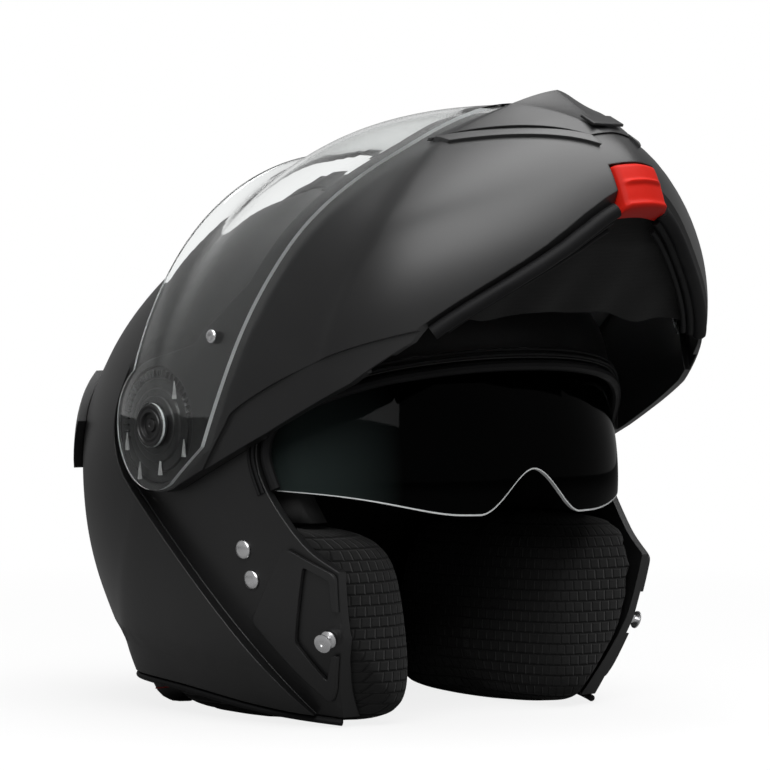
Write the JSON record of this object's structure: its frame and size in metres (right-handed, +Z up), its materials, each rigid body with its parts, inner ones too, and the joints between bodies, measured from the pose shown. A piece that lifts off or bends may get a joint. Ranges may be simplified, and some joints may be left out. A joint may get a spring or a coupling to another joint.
{
  "type": "modular motorcycle helmet",
  "caption": "Matte black modular motorcycle helmet with a flip-up chin bar, clear visor, drop-down smoked sun visor, red release button and padded lining.",
  "frame": {"origin": "on the rest face, below the middle of the helmet with its chin bar raised", "axes": "+Z up, the face looks along -Y, +X is the wearer's left"},
  "size_m": [0.2614, 0.3572, 0.2965],
  "materials": {
    "shell_paint": "satin matte black paint on moulded plastic",
    "black_plastic": "fine textured black plastic",
    "vent_insert": "satin dark grey plastic",
    "red_button": "satin red plastic",
    "rubber_trim": "dull black rubber",
    "impact_foam": "dull expanded polystyrene, blackened",
    "lining_fabric": "black knitted lining over foam",
    "polished_steel": "polished",
    "clear_visor": "clear hard-coated polycarbonate",
    "smoked_visor": "dark smoked polycarbonate"
  },
  "bodies": {
    "shell": {"outer_shell": "shell_paint", "impact_liner": "impact_foam", "crown_pad": "lining_fabric", "cheek_pad_left": "lining_fabric", "cheek_pad_right": "lining_fabric", "neck_roll": "lining_fabric", "brow_trim": "rubber_trim", "rim_trim": "rubber_trim", "striker_plate_left": "black_plastic", "striker_plate_right": "black_plastic", "striker_pin_left": "polished_steel", "striker_pin_right": "polished_steel", "strap_rivet_upper_left": "polished_steel", "strap_rivet_upper_right": "polished_steel", "strap_rivet_lower_left": "polished_steel", "strap_rivet_lower_right": "polished_steel", "sun_visor_pin_left": "polished_steel", "sun_visor_pin_right": "polished_steel", "hinge_pin_left": "polished_steel", "hinge_pin_right": "polished_steel", "crown_vent_cover": "black_plastic", "rear_vent": "black_plastic"},
    "chin_bar": {"chin_bar": "shell_paint", "chin_bar_liner": "lining_fabric", "chin_curtain": "lining_fabric", "chin_edge_trim_left": "rubber_trim", "chin_edge_trim_right": "rubber_trim", "latch_catch_left": "polished_steel", "latch_catch_right": "polished_steel", "pivot_plate_left": "black_plastic", "pivot_plate_right": "black_plastic", "visor_hub_left": "black_plastic", "visor_hub_right": "black_plastic", "chin_vent_cover": "black_plastic", "chin_vent_insert_left": "vent_insert", "chin_vent_insert_right": "vent_insert"},
    "visor": {"visor": "clear_visor", "visor_lock_pin_left": "polished_steel", "visor_lock_pin_right": "polished_steel"},
    "sun_visor": {"sun_visor": "smoked_visor", "sun_visor_arm_left": "smoked_visor", "sun_visor_arm_right": "smoked_visor"},
    "sun_visor_slider": {"sun_visor_slider": "black_plastic"},
    "release_button": {"release_button": "red_button"},
    "chin_vent_slider": {"chin_vent_slider": "black_plastic"},
    "crown_vent_slider": {"crown_vent_slider": "black_plastic"}
  },
  "joints": [
    {"name": "chin_bar_hinge", "type": "hinge", "parent": "shell", "child": "chin_bar", "pos_m": [0, 0.0266, 0.14], "axis": [1, 0, 0], "range_deg": [0, 68]},
    {"name": "visor_hinge", "type": "hinge", "parent": "chin_bar", "child": "visor", "pos_m": [0, 0.0266, 0.14], "axis": [-1, 0, 0], "range_deg": [0, 38]},
    {"name": "sun_visor_hinge", "type": "hinge", "parent": "shell", "child": "sun_visor", "pos_m": [0, 0.0266, 0.113], "axis": [-1, 0, 0], "range_deg": [0, 33]},
    {"name": "sun_visor_slide", "type": "slide", "parent": "shell", "child": "sun_visor_slider", "axis": [-0.08, 0.9968, 0], "range_m": [0, 0.0141]},
    {"name": "release_button_press", "type": "slide", "parent": "chin_bar", "child": "release_button", "axis": [0, 0.8746, -0.4848], "range_m": [0, 0.004], "stiffness_N_per_m": 600},
    {"name": "chin_vent_slide", "type": "slide", "parent": "chin_bar", "child": "chin_vent_slider", "axis": [0, -0.8961, -0.4438], "range_m": [0, 0.005]},
    {"name": "crown_vent_slide", "type": "slide", "parent": "shell", "child": "crown_vent_slider", "axis": [0, 0.9557, -0.2942], "range_m": [0, 0.008]}
  ],
  "couplings": [
    {"joint": "sun_visor_slide", "follows": "sun_visor_hinge", "m_per_rad": 0.0243}
  ]
}
